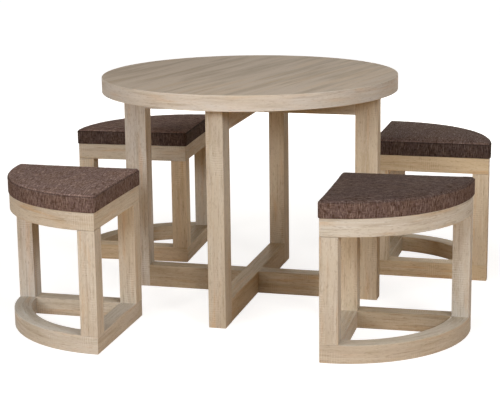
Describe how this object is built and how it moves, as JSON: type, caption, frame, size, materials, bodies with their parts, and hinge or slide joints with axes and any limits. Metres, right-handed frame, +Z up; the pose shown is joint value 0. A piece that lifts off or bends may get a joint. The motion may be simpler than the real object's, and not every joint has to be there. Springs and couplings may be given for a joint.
{
  "type": "dining table and stools set",
  "caption": "Round light-oak dining table on crossed frames, with quarter-round stools in brown woven fabric that slide in between the frames.",
  "frame": {"origin": "on the floor at the centre of the table, under the crossing of its lower rails", "axes": "+Z up, +X to the right and +Y to the back as the picture's camera stands; the two frames lie along X and Y"},
  "size_m": [1.5285, 1.4889, 0.755],
  "materials": {
    "light_oak_top": "satin light oak laminate",
    "light_oak_frame": "satin light oak foil, grain along each member",
    "plywood": "bare sanded",
    "brown_woven_fabric": "coarse woven, matt",
    "zinc_plated_steel": "bright zinc plate"
  },
  "bodies": {
    "table": {"table_top_board": "light_oak_top", "table_edge_band": "light_oak_frame", "table_back_post": "light_oak_frame", "table_left_post": "light_oak_frame", "table_front_post": "light_oak_frame", "table_right_post": "light_oak_frame", "table_lower_rail_front_to_back": "light_oak_frame", "table_lower_rail_left_to_right": "light_oak_frame", "table_upper_rail_front_to_back": "light_oak_frame", "table_upper_rail_left_to_right": "light_oak_frame", "table_top_screw_right": "zinc_plated_steel", "table_top_screw_back": "zinc_plated_steel", "table_top_screw_left": "zinc_plated_steel", "table_top_screw_front": "zinc_plated_steel"},
    "front_left_stool": {"front_left_stool_lower_left_rail": "light_oak_frame", "front_left_stool_lower_right_rail": "light_oak_frame", "front_left_stool_lower_curved_rail": "light_oak_frame", "front_left_stool_inner_leg": "light_oak_frame", "front_left_stool_left_leg": "light_oak_frame", "front_left_stool_right_leg": "light_oak_frame", "front_left_stool_upper_left_rail": "light_oak_frame", "front_left_stool_upper_right_rail": "light_oak_frame", "front_left_stool_upper_curved_rail": "light_oak_frame", "front_left_stool_seat_board": "plywood", "front_left_stool_seat_cushion": "brown_woven_fabric"},
    "back_left_stool": {"back_left_stool_lower_left_rail": "light_oak_frame", "back_left_stool_lower_right_rail": "light_oak_frame", "back_left_stool_lower_curved_rail": "light_oak_frame", "back_left_stool_inner_leg": "light_oak_frame", "back_left_stool_left_leg": "light_oak_frame", "back_left_stool_right_leg": "light_oak_frame", "back_left_stool_upper_left_rail": "light_oak_frame", "back_left_stool_upper_right_rail": "light_oak_frame", "back_left_stool_upper_curved_rail": "light_oak_frame", "back_left_stool_seat_board": "plywood", "back_left_stool_seat_cushion": "brown_woven_fabric"},
    "back_right_stool": {"back_right_stool_lower_left_rail": "light_oak_frame", "back_right_stool_lower_right_rail": "light_oak_frame", "back_right_stool_lower_curved_rail": "light_oak_frame", "back_right_stool_inner_leg": "light_oak_frame", "back_right_stool_left_leg": "light_oak_frame", "back_right_stool_right_leg": "light_oak_frame", "back_right_stool_upper_left_rail": "light_oak_frame", "back_right_stool_upper_right_rail": "light_oak_frame", "back_right_stool_upper_curved_rail": "light_oak_frame", "back_right_stool_seat_board": "plywood", "back_right_stool_seat_cushion": "brown_woven_fabric"},
    "front_right_stool": {"front_right_stool_lower_left_rail": "light_oak_frame", "front_right_stool_lower_right_rail": "light_oak_frame", "front_right_stool_lower_curved_rail": "light_oak_frame", "front_right_stool_inner_leg": "light_oak_frame", "front_right_stool_left_leg": "light_oak_frame", "front_right_stool_right_leg": "light_oak_frame", "front_right_stool_upper_left_rail": "light_oak_frame", "front_right_stool_upper_right_rail": "light_oak_frame", "front_right_stool_upper_curved_rail": "light_oak_frame", "front_right_stool_seat_board": "plywood", "front_right_stool_seat_cushion": "brown_woven_fabric"}
  },
  "joints": [
    {"name": "front_left_stool_tuck_slide", "type": "slide", "parent": "table", "child": "front_left_stool", "axis": [0.5933, 0.805, 0], "range_m": [0, 0.40296]},
    {"name": "back_left_stool_tuck_slide", "type": "slide", "parent": "table", "child": "back_left_stool", "axis": [0.7662, -0.6426, 0], "range_m": [0, 0.37755]},
    {"name": "back_right_stool_tuck_slide", "type": "slide", "parent": "table", "child": "back_right_stool", "axis": [-0.7993, -0.601, 0], "range_m": [0, 0.41143]},
    {"name": "front_right_stool_tuck_slide", "type": "slide", "parent": "table", "child": "front_right_stool", "axis": [-0.8156, 0.5786, 0], "range_m": [0, 0.4122]}
  ]
}
